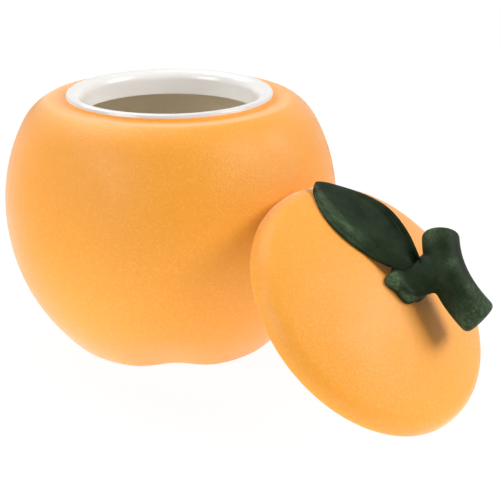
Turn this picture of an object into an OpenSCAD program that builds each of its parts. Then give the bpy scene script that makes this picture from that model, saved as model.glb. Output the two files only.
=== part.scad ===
// Fruit-shaped ceramic tea canister: round jar, domed lid with a seal, and a knob of calyx, twig and leaf.
// The jar stands on the floor at the origin, mouth up. The lid is off and leans on the jar's flank.
// Lengths are in millimetres and angles in degrees. The lid and its knob are drawn in the lid's own axes:
// z runs up from the lid's bottom edge, x points down the slope of the leaning lid.

/* [Jar] */
// Greatest outside diameter of the jar
jar_d = 100; // [90:1:120]
// Radius of the flank below the widest circle
low_flank_r = 58.2; // [54:0.2:66]
// Angle that the lower flank turns through before the foot
low_flank_turn = 46.3; // [42:0.1:52]
// Radius of the rounded edge of the foot
foot_edge_r = 4; // [2:0.5:7]
// Radius of the flank above the widest circle
high_flank_r = 53; // [50:0.2:60]
// Angle that the upper flank turns through before the shoulder
high_flank_turn = 27.8; // [24:0.1:32]
// Radius of the rounded shoulder
shoulder_r = 16.4; // [14:0.2:18]
// Thickness of the fired clay wall
wall = 4; // [3:0.25:5]
// Thickness of the base
base_t = 5; // [4:0.25:7]
// Radius of the corner between the chamber's wall and floor or roof
chamber_corner_r = 9; // [6:0.5:12]

/* [Mouth] */
// Diameter of the mouth's straight bore
mouth_d = 53; // [48:0.5:56]
// Width of the rim around the bore
rim_w = 4.1; // [3:0.1:5]
// Height of the rim over the crest of the shoulder
rim_rise = 0.75; // [0.5:0.05:2]
// Radius of the rim's inner edge
rim_inner_r = 1.6; // [0.8:0.1:2]
// Depth of the neck from the rim to the chamber's roof
neck_depth = 8; // [7:0.25:10]

/* [Base grooves] */
// Number of shallow grooves that part the foot into lobes
groove_count = 4; // [3:1:6]
// Depth of a groove at the foot's edge
groove_depth = 1.8; // [0.5:0.1:2.5]
// Radius of a groove's round cross-section
groove_r = 22; // [16:1:26]
// Distance from the axis at which a groove starts on the base
groove_start = 16; // [12:1:20]
// Height at which a groove fades out on the flank
groove_top = 16; // [10:1:22]

/* [Lid] */
// Greatest diameter of the lid
lid_d = 76; // [72:0.5:80]
// Height of the dome's crown over the widest circle
lid_rise = 13.9; // [11:0.1:18]
// Radius of the dome's rounded edge
lid_edge_r = 6.4; // [4:0.2:9]
// Radius under the lid's bottom edge
lid_lip_r = 0.6; // [0.3:0.1:1]
// Width of the flat ring that the lid's bottom edge forms
lid_foot_w = 1.2; // [0.8:0.1:2]
// Thickness of the lid's crown over its hollow
lid_wall = 4.5; // [3:0.25:6]
// Gap between the closed lid and the shoulder
lid_shadow_gap = 0.5; // [0.3:0.05:1.2]
// Gap all round between the rim and the lid's seat over it
rim_clearance = 0.8; // [0.5:0.1:1.5]

/* [Locating flange and seal] */
// Depth of the flange below the lid's bottom edge
flange_depth = 8; // [6:0.25:9]
// Wall of the flange
flange_wall = 4.2; // [3.5:0.1:6]
// Clearance all round between the flange and the bore
flange_clearance = 1.2; // [0.6:0.1:2]
// Height of the seal ring
seal_h = 4; // [3:0.1:5]
// Depth of the seal's groove in the flange
seal_depth = 1.8; // [1.2:0.1:2.2]
// How far the seal's free lips stand past the bore
seal_squeeze = 0.3; // [0.1:0.05:0.6]
// Depth of the seal's middle below the lid's bottom edge
seal_drop = 1.8; // [1:0.1:3]

/* [Leaning lid] */
// Angle between the lid's axis and the vertical
lean_tilt = 46.2; // [40:0.2:52]
// Direction that the lid faces, turned from +X about the vertical
lean_turn = -45.4; // [-60:0.2:-30]
// Gap left between the lid's edge and the jar
lean_gap = 0.3; // [0.2:0.05:0.6]

/* [Calyx] */
// Number of lobes
calyx_lobes = 3; // [3:1:5]
// Radius of the calyx at the tip of a lobe
lobe_r = 6.6; // [6:0.1:7.2]
// Depth of the valleys between the lobes
lobe_depth = 1.8; // [0.5:0.1:2.2]
// Height of the calyx
calyx_h = 4; // [3:0.1:4.6]
// Direction of the first lobe in the lid's axes
calyx_turn = -124; // [-150:1:-90]

/* [Twig] */
// Thickness of the cross branch at its short upper end
stub_d = 10.2; // [9:0.1:11]
// Thickness of the cross branch at its long lower end
limb_d = 10.6; // [9.5:0.1:11.5]
// Thickness of the stalk between calyx and branch
stalk_d = 9; // [8:0.1:9.4]
// How much wider the stalk is along the branch where the two meet
stalk_flare = 2.6; // [0.4:0.1:3]
// Radius of the blunt ends' edges
twig_edge_r = 2; // [1:0.1:3]
// Height of the branch's middle over the lid's crown
branch_lift = 8.6; // [8:0.1:11]

/* [Leaf] */
// Thickness of the leaf
leaf_t = 2.6; // [2.2:0.1:2.8]
// How far the leaf's edges curl up
leaf_cup = 0.2; // [0:0.1:1]
// Lift of the leaf's root over the lid's crown
leaf_lift = 1.2; // [1.1:0.1:2.4]
// Lift of the leaf's tip over the lid's edge
leaf_tip_lift = 2.6; // [2.4:0.1:3.2]
// Reach of the leaf's tip from the lid's axis, as a share of the lid's radius
leaf_reach = 0.97; // [0.94:0.002:0.98]
// Thickness of the slip between leaf and calyx
slip_t = 0.12; // [0.05:0.01:0.3]

/* [Hidden] */
$fn = 120;

// Colours of the glazes and of the seal
orange_glaze = "#f9a33e";
green_glaze = "#233226";
silicone = "#f2f0ec";
// Direction that the rings across the twig are lined up with
ring_from = [0.1, -1, 0];
// Steps along a short arc and along a long one
short_arc = 6;
long_arc = 12;
// Angle that a groove's ring runs on past both ends of the groove
groove_overrun = 12;

// Jar: centres of the flanks, foot edge and shoulder
jar_r = jar_d / 2;
widest_z = foot_edge_r + (low_flank_r - foot_edge_r) * sin(low_flank_turn);
low_flank_x = jar_r - low_flank_r;
high_flank_x = jar_r - high_flank_r;
foot_r = low_flank_x + (low_flank_r - foot_edge_r) * cos(low_flank_turn);
shoulder_x = high_flank_x + (high_flank_r - shoulder_r) * cos(high_flank_turn);
shoulder_z = widest_z + (high_flank_r - shoulder_r) * sin(high_flank_turn);
crest_z = shoulder_z + shoulder_r;

// Share of the rim's free height that its outer edge's radius takes up
rim_outer_share = 0.9;
// Mouth: bore, rim and roof of the chamber
mouth_r = mouth_d / 2;
rim_r = mouth_r + rim_w;
rim_z = crest_z + rim_rise;
rim_outer_r = rim_outer_share * min(rim_rise, rim_w - rim_inner_r);
neck_z = rim_z - neck_depth;
shoulder_end = rim_r > shoulder_x ? acos((rim_r - shoulder_x) / shoulder_r) : 90;

// Centre of the calyx in the lid's axes, a little behind the crown
calyx_at = [0.6, 1.7];

// Lid: arcs of the dome, flat pad for the knob, seat on the rim
lid_r = lid_d / 2;
dome_turn = 90 - 2 * atan((lid_rise - lid_edge_r) / (lid_r - lid_edge_r));
dome_r = lid_edge_r + (lid_r - lid_edge_r) / cos(dome_turn);
crown_z = lid_lip_r + lid_rise;
dome_z = crown_z - dome_r;
pad_r = lobe_r + norm(calyx_at);
pad_z = dome_z + sqrt(pow(dome_r, 2) - pow(pad_r, 2));
lid_foot_r = lid_r - lid_lip_r - lid_foot_w;
closed_z = shoulder_z + sqrt(pow(shoulder_r, 2) - pow(lid_foot_r - shoulder_x, 2)) + lid_shadow_gap;
seat_z = rim_z - closed_z;
// Underside of the lid outside its seat: an arc that follows the shoulder when the lid is on
under_r = norm([lid_foot_r - shoulder_x, closed_z - shoulder_z]);
under_end = atan2(closed_z - shoulder_z, lid_foot_r - shoulder_x);
under_start = acos((rim_r + rim_clearance - shoulder_x) / under_r);
flange_r = mouth_r - flange_clearance;
hollow_r = flange_r - flange_wall;
flange_edge_r = flange_wall / 4;
seal_top = seal_h / 2 - seal_drop;
seal_bottom = seal_top - seal_h;
seal_in_r = flange_r - seal_depth;
seal_out_r = mouth_r + seal_squeeze;
// Height of a lip's edge as a share of the lip
seal_lip_share = 0.75;

// Leaning lid: its lip stands on the floor and rests on the upper flank
lip_r = lid_r - lid_lip_r;
lean_z = lip_r * sin(lean_tilt) + lid_lip_r * (1 - cos(lean_tilt));
touch_z = lid_lip_r + 2 * lip_r * sin(lean_tilt);
touch_r = high_flank_x + sqrt(pow(high_flank_r + lid_lip_r + lean_gap, 2) - pow(touch_z - widest_z, 2));
lean_r = touch_r + lip_r * cos(lean_tilt) - lid_lip_r * sin(lean_tilt);

// Knob: the twig's and the leaf's guide points in the lid's axes
calyx_top = pad_z + calyx_h;
branch_z = crown_z + branch_lift;
stub_end = [-5.9, 13.85, branch_z + 1.9];
branch_bend = [4.7, 6, branch_z - 0.6];
limb_end = [19.5, 10.6, branch_z];
stalk_foot = [calyx_at.x, calyx_at.y, calyx_top];
// Share of the branch's length at which the stalk meets it
stalk_share = 0.38;
// Place of the leaf's bend as a share of its reach, its arch over the root, and the sideways places of
// the bend and the tip
leaf_bend_share = 0.436;
leaf_arch = 3.2;
leaf_bow = -1.4;
leaf_swing = 2.5;
leaf_root = [-2, 9.3, crown_z + leaf_lift];
leaf_bend = [-leaf_reach * leaf_bend_share * lid_r, leaf_bow, crown_z + leaf_lift + leaf_arch];
leaf_tip_x = -leaf_reach * lid_r;
leaf_tip = [leaf_tip_x, leaf_swing, edge_height(norm([leaf_tip_x, leaf_swing])) + leaf_tip_lift];
// Half widths of the leaf at its root, at two shares of its length and at its tip
leaf_half = [2.1, 9.9, 14.8, 1.2];
// Roll of the leaf about its length, and the share of the length in which its tip rounds off
leaf_roll = 10;
leaf_tip_share = 0.052;
// Shares of the leaf's width and thickness that its tip keeps, and the power that flattens its oval section
leaf_tip_w = 0.1;
leaf_tip_t = 0.35;
leaf_flat = 0.7;
// Corners of a ring across the twig or leaf and round the calyx, and rings along the twig and the leaf
ring_n = 24;
calyx_n = 48;
branch_rings = 22;
stalk_rings = 10;
leaf_rings_n = 28;
// Power that crowds the leaf's rings towards its tip
leaf_crowding = 1.8;
// Share of the calyx's height below its rounded edge, and width of its flat top as a share of its foot
calyx_skirt = 0.3;
calyx_crown = 0.78;

// Points of an arc about centre c with radius r, from angle a to angle b, in n steps
function arc(c, r, a, b, n) =
    [for (i = [0 : n])
        let (g = a + (b - a) * i / n)
        c + r * [cos(g), sin(g)]];

// Centre of a corner of radius r between a level line at height z and the inside of a flank
// with radius flank_r about [flank_x, widest_z]; way is 1 for a roof and -1 for a floor
function corner_centre(flank_x, flank_r, r, z, way) =
    let (h = z - way * r)
    [flank_x + sqrt(pow(flank_r - r, 2) - pow(h - widest_z, 2)), h];

// Height of the lid's rounded edge at distance r from the axis
function edge_height(r) = lid_lip_r + sqrt(pow(lid_edge_r, 2) - pow(r - lid_r + lid_edge_r, 2));

function unit(v) = v / norm(v);
function bend(a, b, c, s) = pow(1 - s, 2) * a + 2 * s * (1 - s) * b + s * s * c;
function heading(a, b, c, s) = unit((1 - s) * (b - a) + s * (c - b));
function weigh(w, s) =
    pow(1 - s, 3) * w[0] + 3 * s * pow(1 - s, 2) * w[1] + 3 * s * s * (1 - s) * w[2] + pow(s, 3) * w[3];
function middle(ring) = [for (k = [0 : 2]) sum([for (p = ring) p[k]]) / len(ring)];
function sum(v, i = 0) = i < len(v) ? v[i] + sum(v, i + 1) : 0;

// Closed skin over rings of points that all have the same count, with a fan of triangles at each end
module skin(rings) {
    n = len(rings[0]);
    last = len(rings) - 1;
    points = concat([for (r = rings) each r], [middle(rings[0]), middle(rings[last])]);
    sides = [for (i = [0 : last - 1], j = [0 : n - 1])
        let (a = i * n + j, b = i * n + (j + 1) % n)
        each [[a, b, b + n], [a, b + n, a + n]]];
    ends = [for (j = [0 : n - 1])
        let (k = (j + 1) % n)
        each [[k, j, n * (last + 1)], [last * n + j, last * n + k, n * (last + 1) + 1]]];
    polyhedron(points, concat(sides, ends), convexity = 6);
}

// Ring of radius r about point c, square to the direction along
function round_ring(c, along, r) =
    let (
        side = unit(cross(along, ring_from)),
        up = cross(side, along)
    )
    [for (j = [0 : ring_n - 1]) c + r * (cos(j * 360 / ring_n) * side + sin(j * 360 / ring_n) * up)];

// Oval ring about point c, square to the direction along, with radius wide_r towards the direction wide
function oval_ring(c, along, wide, wide_r, r) =
    let (
        side = unit(wide - (wide * along) * along),
        up = cross(side, along)
    )
    [for (j = [0 : ring_n - 1]) c + wide_r * cos(j * 360 / ring_n) * side + r * sin(j * 360 / ring_n) * up];

// Lobed ring of the calyx at height z, at a share of its full width
function calyx_ring(z, share) =
    [for (j = [0 : calyx_n - 1])
        let (
            turn = -j * 360 / calyx_n,
            r = lobe_r - lobe_depth / 2 * (1 - cos(calyx_lobes * (turn - calyx_turn)))
        )
        [calyx_at.x + share * r * cos(turn), calyx_at.y + share * r * sin(turn), z]];

// Oval ring across the leaf at s: cupped, rolled, and drawn in towards the blunt tip
function leaf_ring(s) =
    let (
        along = heading(leaf_root, leaf_bend, leaf_tip, s),
        level = [0, cos(leaf_roll), sin(leaf_roll)],
        side = unit(level - (level * along) * along),
        up = cross(side, along),
        past = max(0, (s - 1 + leaf_tip_share) / leaf_tip_share),
        rounding = max(leaf_tip_w, sqrt(1 - pow(min(1, past), 2))),
        half = weigh(leaf_half, s) * rounding
    )
    [for (j = [0 : ring_n - 1])
        let (
            across = cos(j * 360 / ring_n),
            rise = sin(j * 360 / ring_n),
            cup = leaf_cup * pow(across * half / max(leaf_half), 2),
            thin = leaf_tip_t + (1 - leaf_tip_t) * rounding,
            thick = leaf_t / 2 * thin * sign(rise) * pow(abs(rise), leaf_flat)
        )
        bend(leaf_root, leaf_bend, leaf_tip, s) + across * half * side + (cup + thick) * up];

// Places the lid and its knob: leaning on the jar
module leaning()
    rotate([0, 0, lean_turn]) translate([lean_r, 0, lean_z]) rotate([0, lean_tilt, 0]) children();

module jar_section() {
    roof = corner_centre(high_flank_x, high_flank_r - wall, chamber_corner_r, neck_z, 1);
    floor = corner_centre(low_flank_x, low_flank_r - wall, chamber_corner_r, base_t, -1);
    roof_turn = asin((roof.y - widest_z) / (high_flank_r - wall - chamber_corner_r));
    floor_turn = asin((floor.y - widest_z) / (low_flank_r - wall - chamber_corner_r));
    polygon(concat(
        [[0, 0]],
        arc([foot_r, foot_edge_r], foot_edge_r, -90, -low_flank_turn, short_arc),
        arc([low_flank_x, widest_z], low_flank_r, -low_flank_turn, 0, long_arc),
        arc([high_flank_x, widest_z], high_flank_r, 0, high_flank_turn, long_arc),
        arc([shoulder_x, shoulder_z], shoulder_r, high_flank_turn, shoulder_end, long_arc),
        arc([rim_r - rim_outer_r, rim_z - rim_outer_r], rim_outer_r, 0, 90, short_arc),
        arc([mouth_r + rim_inner_r, rim_z - rim_inner_r], rim_inner_r, 90, 180, short_arc),
        [[mouth_r, neck_z]],
        arc(roof, chamber_corner_r, 90, roof_turn, long_arc),
        arc([high_flank_x, widest_z], high_flank_r - wall, roof_turn, 0, long_arc),
        arc([low_flank_x, widest_z], low_flank_r - wall, 0, floor_turn, long_arc),
        arc(floor, chamber_corner_r, floor_turn, -90, long_arc),
        [[0, base_t]]
    ));
}

// One groove across the foot: a ring of round section whose inner circle runs through three points of the
// groove's floor, namely its start on the base, its depth at the foot's edge and its end on the flank
module groove() {
    a = [groove_start, 0];
    edge_dir = -45 - low_flank_turn / 2;
    b = [foot_r, 0] - groove_depth * [cos(edge_dir), sin(edge_dir)];
    c = [low_flank_x + sqrt(pow(low_flank_r, 2) - pow(widest_z - groove_top, 2)), groove_top];
    turn = 2 * cross(b - a, c - a);
    fall = [pow(norm(b), 2) - pow(norm(a), 2), pow(norm(c), 2) - pow(norm(a), 2)];
    q = [fall[0] * (c - a).y - fall[1] * (b - a).y, fall[1] * (b - a).x - fall[0] * (c - a).x] / turn;
    floor_r = norm(q - a);
    sweep_from = atan2(a.y - q.y, a.x - q.x) - groove_overrun;
    sweep_to = atan2(c.y - q.y, c.x - q.x) + groove_overrun;
    translate([q.x, 0, q.y]) rotate([90, 0, 0]) rotate([0, 0, sweep_from])
        rotate_extrude(angle = sweep_to - sweep_from) translate([floor_r + groove_r, 0]) circle(groove_r);
}

module jar_body() {
    color(orange_glaze) difference() {
        rotate_extrude() jar_section();
        for (i = [0 : groove_count - 1]) rotate([0, 0, -90 + i * 360 / groove_count]) groove();
    }
}

module lid_section() {
    polygon(concat(
        arc([lip_r, lid_lip_r], lid_lip_r, -90, 0, short_arc),
        arc([lid_r - lid_edge_r, lid_lip_r], lid_edge_r, 0, dome_turn, long_arc),
        arc([0, dome_z], dome_r, dome_turn, acos(pad_r / dome_r), long_arc),
        [[0, pad_z]],
        arc([0, dome_z], dome_r - lid_wall, 90, acos(hollow_r / (dome_r - lid_wall)), long_arc),
        arc([hollow_r + flange_edge_r, flange_edge_r - flange_depth], flange_edge_r, 180, 270, short_arc),
        arc([flange_r - flange_edge_r, flange_edge_r - flange_depth], flange_edge_r, 270, 360, short_arc),
        [[flange_r, seal_bottom], [seal_in_r, seal_bottom], [seal_in_r, seal_top], [flange_r, seal_top]],
        [[flange_r, seat_z], [rim_r + rim_clearance, seat_z]],
        arc([shoulder_x, shoulder_z - closed_z], under_r, under_start, under_end, short_arc)
    ));
}

module lid() {
    color(orange_glaze) leaning() rotate_extrude() lid_section();
}

// Flat band in the flange's groove with two lips that taper to their edges
module seal_ring() {
    lip_h = seal_h / 2;
    lip_edge = seal_lip_share * lip_h;
    color(silicone) leaning() rotate_extrude() polygon([
        [seal_in_r, seal_bottom],
        [flange_r, seal_bottom],
        [seal_out_r, seal_bottom + lip_edge],
        [flange_r, seal_bottom + lip_h],
        [seal_out_r, seal_bottom + lip_h + lip_edge],
        [flange_r, seal_top],
        [seal_in_r, seal_top]
    ]);
}

// Lobed bun on the lid's pad: a low skirt, then an edge that rounds over to a flat top.
// It is grown by extra all round.
module calyx_bun(extra) {
    full = 1 + extra / lobe_r;
    skirt_z = pad_z + calyx_skirt * calyx_h;
    skin(concat(
        [calyx_ring(pad_z - extra, full)],
        [for (i = [0 : short_arc])
            let (g = i * 90 / short_arc)
            calyx_ring(
                skirt_z + ((1 - calyx_skirt) * calyx_h + extra) * sin(g),
                full * (calyx_crown + (1 - calyx_crown) * cos(g))
            )]
    ));
}

module calyx() {
    color(green_glaze) leaning() calyx_bun(0);
}

// Radius of the branch at s, with the edges of its blunt ends rounded
function branch_r(s) = (stub_d + (limb_d - stub_d) * s) / 2;

module branch() {
    reach = norm(limb_end - stub_end);
    rounding = [for (i = [0 : short_arc - 1]) i * 90 / short_arc];
    stub_rings = [for (g = rounding)
        [twig_edge_r * (1 - cos(g)) / reach, branch_r(0) - twig_edge_r * (1 - sin(g))]];
    limb_rings = [for (g = rounding)
        [1 - twig_edge_r * (1 - cos(g)) / reach, branch_r(1) - twig_edge_r * (1 - sin(g))]];
    first = twig_edge_r / reach;
    middle_rings = [for (i = [0 : branch_rings])
        let (s = first + (1 - 2 * first) * i / branch_rings) [s, branch_r(s)]];
    all = concat(stub_rings, middle_rings, [for (i = [short_arc - 1 : -1 : 0]) limb_rings[i]]);
    skin([for (k = all)
        round_ring(
            bend(stub_end, branch_bend, limb_end, k[0]),
            heading(stub_end, branch_bend, limb_end, k[0]),
            k[1]
        )]);
}

// Stalk that stands flat on the calyx and leans over into the branch
module stalk() {
    joint = bend(stub_end, branch_bend, limb_end, stalk_share);
    lean = unit(joint - stalk_foot);
    wide = heading(stub_end, branch_bend, limb_end, stalk_share);
    skin([for (i = [0 : stalk_rings])
        let (s = i / stalk_rings)
        oval_ring(
            stalk_foot + s * (joint - stalk_foot),
            unit((1 - s) * [0, 0, 1] + s * lean),
            wide,
            (stalk_d + s * stalk_flare) / 2,
            stalk_d / 2
        )]);
}

module twig() {
    color(green_glaze) leaning() union() {
        branch();
        stalk();
    }
}

module leaf() {
    color(green_glaze) leaning() difference() {
        skin([for (i = [0 : leaf_rings_n]) leaf_ring(1 - pow(1 - i / leaf_rings_n, leaf_crowding))]);
        calyx_bun(slip_t);
    }
}

jar_body();
lid();
seal_ring();
calyx();
twig();
leaf();
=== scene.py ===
"""Dresses the fruit-shaped tea canister: its jar, its leaning lid with the seal, and the knob."""

import math

import bmesh
import bpy
import numpy as np
from bpy.props import FloatProperty, FloatVectorProperty, IntProperty, PointerProperty
from mathutils import Matrix, Vector


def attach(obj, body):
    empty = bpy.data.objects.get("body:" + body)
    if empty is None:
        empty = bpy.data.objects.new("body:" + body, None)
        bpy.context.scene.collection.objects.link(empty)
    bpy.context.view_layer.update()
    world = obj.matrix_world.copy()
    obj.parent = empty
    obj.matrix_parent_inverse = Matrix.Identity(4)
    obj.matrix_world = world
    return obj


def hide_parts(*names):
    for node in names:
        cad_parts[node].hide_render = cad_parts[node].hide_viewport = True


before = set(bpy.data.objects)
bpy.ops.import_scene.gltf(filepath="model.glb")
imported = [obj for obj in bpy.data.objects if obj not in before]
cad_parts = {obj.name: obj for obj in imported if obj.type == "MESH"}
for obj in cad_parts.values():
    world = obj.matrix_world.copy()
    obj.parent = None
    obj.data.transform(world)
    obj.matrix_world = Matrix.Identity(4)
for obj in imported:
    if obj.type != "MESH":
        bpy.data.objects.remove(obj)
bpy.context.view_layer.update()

bl_info = {
    "name": "Fruit-shaped tea canister",
    "version": (1, 0, 0),
    "blender": (4, 5, 0),
    "location": "View3D > Sidebar > Canister",
    "description": "Builds a glazed jar with a leaning lid, and the stage that it stands on",
    "category": "Object",
}

MM = 0.001
JAR_STEPS = 288
LID_STEPS = 256
LEAF_RINGS = 96
LEAF_POINTS = 64
SATIN_SHEEN = 0.66
SATIN_GRAIN = 0.55 * MM
SATIN_BUMP = 0.19 * MM
THIN_SHARE = 0.65
CHAMBER_ROUGHNESS = 0.5
RIM_GLAZE = 1.05 * MM
GLAZE_BLUR = 0.15 * MM
# Section of the jar from the soft crest over the valley to the rim and its bore, from the rim's corner
CREST_END = 5.4 * MM
CREST_PULL = 4.3 * MM
SLOPE_MIDDLE = 3.4 * MM
VALLEY_PULL = 2.4 * MM
VALLEY_END = 1.6 * MM
RIM_PULL = 0.2 * MM
RIM_SIDE = 0.55 * MM
RIM_TOP = 1.1 * MM
NECK_LIP = 0.35 * MM
# The knob's clay
CALYX_SUNK = 0.6 * MM
TAPER_START = 0.48
TAPER_SPAN = 0.57
STALK_SHARE = 0.38
CLAY_VOXEL = 0.35 * MM
CLAY_ROUNDS = 18
SEAM_WAY = Vector((0.12, 0.06, 1.0))
LEAF_TIP_SHARE = 0.052
CURL_WAY = Vector((0.18, -1.2, 1.0))
# Leaf streak, partly thin glaze and partly painted highlight: its middle and half width across the leaf, as
# shares
STREAK_AT = -0.68
STREAK_HALF = 0.17
# Worn glaze at the branch's ends: end, spread in millimetres, reach in spreads, and share
WORN_ENDS = (("limb_end", 7.0, 1.5, 0.75), ("stub_end", 6.0, 1.3, 0.35))
# Paler spots, three on the branch and a painted highlight on the calyx's long lobe: place and spread in
# millimetres, and share
PALE_SPOTS = (
    ((3.3, 7.1, 28.0), 1.7, 0.6),
    ((11.3, 8.1, 28.1), 1.7, 0.6),
    ((-7.0, 8.5, 25.8), 2.6, 0.6),
    # Painted highlight on the lit outer face of the calyx's long lobe
    ((-1.6, -4.0, 16.8), 2.4, 1.0),
)
# The stage: point that the lamps face, their tints, and the floor's size, lift and share of plain white
LIT_POINT = Vector((0.02, -0.03, 0.045))
SOFTBOX_TINTS = {"right": (1.0, 0.98, 0.95), "left": (1.0, 0.99, 0.97), "top": (1.0, 1.0, 1.0)}
FLOOR_HALF = 6.0
FLOOR_LIFT = 0.4
FLOOR_WHITE = 0.9
UP = Vector((0.0, 0.0, 1.0))


def size(label, words, millimetres):
    """A length that is shown in the panel."""
    return FloatProperty(name=label, description=words, default=millimetres * MM, unit="LENGTH", precision=5)


def angle(label, words, degrees):
    """An angle that is shown in the panel."""
    return FloatProperty(name=label, description=words, default=math.radians(degrees), subtype="ANGLE")


def place(label, words, point):
    """A point in millimetres that is shown in the panel."""
    metres = [c * MM for c in point]
    return FloatVectorProperty(
        name=label, description=words, default=metres, subtype="TRANSLATION", size=3, precision=5
    )


def amount(label, words, value):
    """A plain number that is shown in the panel."""
    return FloatProperty(name=label, description=words, default=value, min=0.0, precision=3)


def way(label, words, value):
    """A direction that is shown in the panel."""
    return FloatVectorProperty(name=label, description=words, default=value, subtype="DIRECTION", size=3)


def colour(label, words, value):
    """A colour that is shown in the panel."""
    return FloatVectorProperty(
        name=label, description=words, default=value, subtype="COLOR", size=3, min=0.0, max=1.0
    )


class CanisterJar(bpy.types.PropertyGroup):
    """Sizes of the jar."""

    radius: size("Radius", "Greatest radius of the jar", 50.0)
    low_flank: size("Lower flank", "Radius of the flank below the widest circle", 58.2)
    low_turn: angle("Lower turn", "Angle that the lower flank turns through", 46.3)
    foot_edge: size("Foot edge", "Radius of the rounded edge of the foot", 4.0)
    high_flank: size("Upper flank", "Radius of the flank above the widest circle", 53.0)
    high_turn: angle("Upper turn", "Angle that the upper flank turns through", 27.8)
    shoulder: size("Shoulder", "Radius of the rounded shoulder", 16.4)
    wall: size("Wall", "Thickness of the clay wall", 4.0)
    base: size("Base", "Thickness of the base", 5.0)
    corner: size("Chamber corner", "Radius inside the chamber's corners", 9.0)
    mouth: size("Mouth", "Radius of the mouth's bore", 26.5)
    rim: size("Rim", "Width of the white rim", 4.1)
    rim_rise: size("Rim rise", "Height of the rim over the shoulder", 0.75)
    rim_ease: size("Rim ease", "How far the fired rim sinks below its drawn height", 0.45)
    rim_edge: size("Rim edge", "Radius of the rim's inner edge", 2.9)
    neck: size("Neck", "Depth of the neck", 8.0)
    valley: size("Valley", "Depth of the soft valley round the rim", 1.82)
    valley_w: size("Valley width", "Width of the soft valley round the rim", 8.6)
    crest_drop: size("Crest drop", "Depth of the soft crest outside the valley", 1.68)
    grooves: IntProperty(name="Grooves", description="Number of grooves in the foot", default=4, min=2)
    groove_depth: size("Groove depth", "Depth of a groove at the foot's edge", 1.8)
    groove_half: angle("Groove half width", "Half of a groove's width, as an angle", 15.0)
    groove_start: size("Groove start", "Distance from the axis at which a groove starts", 14.0)
    groove_top: size("Groove top", "Height at which a groove fades out", 15.0)


class CanisterLid(bpy.types.PropertyGroup):
    """Sizes and place of the lid."""

    radius: size("Radius", "Greatest radius of the lid", 38.0)
    rise: size("Rise", "Height of the crown over the widest circle", 13.9)
    edge: size("Edge", "Radius of the dome's rounded edge", 6.4)
    lip: size("Lip", "Radius under the lid's bottom edge", 0.6)
    foot: size("Foot", "Width of the flat ring under the edge", 1.2)
    wall: size("Wall", "Thickness of the crown", 4.5)
    flange: size("Flange", "Depth of the locating flange", 8.0)
    flange_wall: size("Flange wall", "Thickness of the flange", 4.2)
    clearance: size("Clearance", "Gap between flange and bore", 1.2)
    seal_height: size("Seal height", "Height of the seal's groove", 4.0)
    seal_depth: size("Seal depth", "Depth of the seal's groove", 1.8)
    seal_drop: size("Seal drop", "Depth of the seal's middle below the lid's edge", 1.8)
    shadow_gap: size("Shadow gap", "Gap over the shoulder when the lid is on", 0.5)
    rim_clearance: size("Rim clearance", "Gap all round the rim under the lid's seat", 0.8)
    tilt: angle("Tilt", "Angle between the lid's axis and the vertical", 46.2)
    turn: angle("Turn", "Direction that the lid faces", -45.4)
    gap: size("Gap", "Gap between the leaning lid and the jar", 0.3)


class CanisterKnob(bpy.types.PropertyGroup):
    """Sizes of the knob's pieces, in the lid's own axes."""

    calyx_at: place("Calyx centre", "Centre of the calyx on the dome", (1.0, 2.5, 0.0))
    lobe: size("Lobe", "Radius of the calyx at the tip of a lobe", 6.2)
    valley: size("Valley", "Depth between two lobes", 0.9)
    lobes: IntProperty(name="Lobes", description="Number of lobes", default=5, min=2)
    first_lobe: angle("First lobe", "Direction of the first lobe", -114.0)
    long_lobe: size("Long lobe", "How much further the first lobe reaches", 1.2)
    calyx: size("Calyx height", "Height of the calyx", 4.0)
    stub: size("Stub", "Thickness of the branch's short end", 10.2)
    limb: size("Limb", "Thickness of the branch's long end", 10.6)
    stalk: size("Stalk", "Thickness of the stalk", 9.6)
    flare: size("Flare", "How much wider the stalk is along the branch where the two meet", 2.2)
    blunt: size("Blunt edge", "Radius at the branch's ends before the clay is smoothed", 1.2)
    stub_end: place("Stub end", "Middle of the short end", (-5.9, 13.85, 25.0))
    branch_bend: place("Branch bend", "Point that pulls the branch into its bend", (4.7, 6.0, 22.5))
    limb_end: place("Limb end", "Middle of the long end", (19.5, 10.6, 23.1))
    leaf: size("Leaf thickness", "Thickness of the leaf", 2.6)
    cup: size("Leaf cup", "How far the leaf's edges rise", 0.2)
    curl: size("Leaf curl", "How far the far rim curls up near the root", 2.0)
    climb: size("Leaf climb", "How far the leaf's root climbs up the stalk", 4.5)
    press: size("Leaf press", "How far the near edge is pressed onto the dome", 0.9)
    leaf_root: place("Leaf root", "Middle of the leaf at the calyx", (-2.0, 9.3, 15.7))
    leaf_bend: place("Leaf bend", "Point that pulls the leaf over the dome", (-16.07, -1.4, 18.9))
    leaf_tip: place("Leaf tip", "Tip of the leaf at the lid's edge", (-36.86, 2.5, 6.72))
    leaf_roll: angle("Leaf roll", "Roll of the leaf about its length", 10.0)
    half_root: size("Root half width", "Half of the leaf's width at its root", 2.1)
    half_low: size("Lower half width", "Half width that the lower part tends to", 9.9)
    half_high: size("Upper half width", "Half width that the upper part tends to", 14.8)
    half_tip: size("Tip half width", "Half of the leaf's width at its tip", 1.2)


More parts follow.
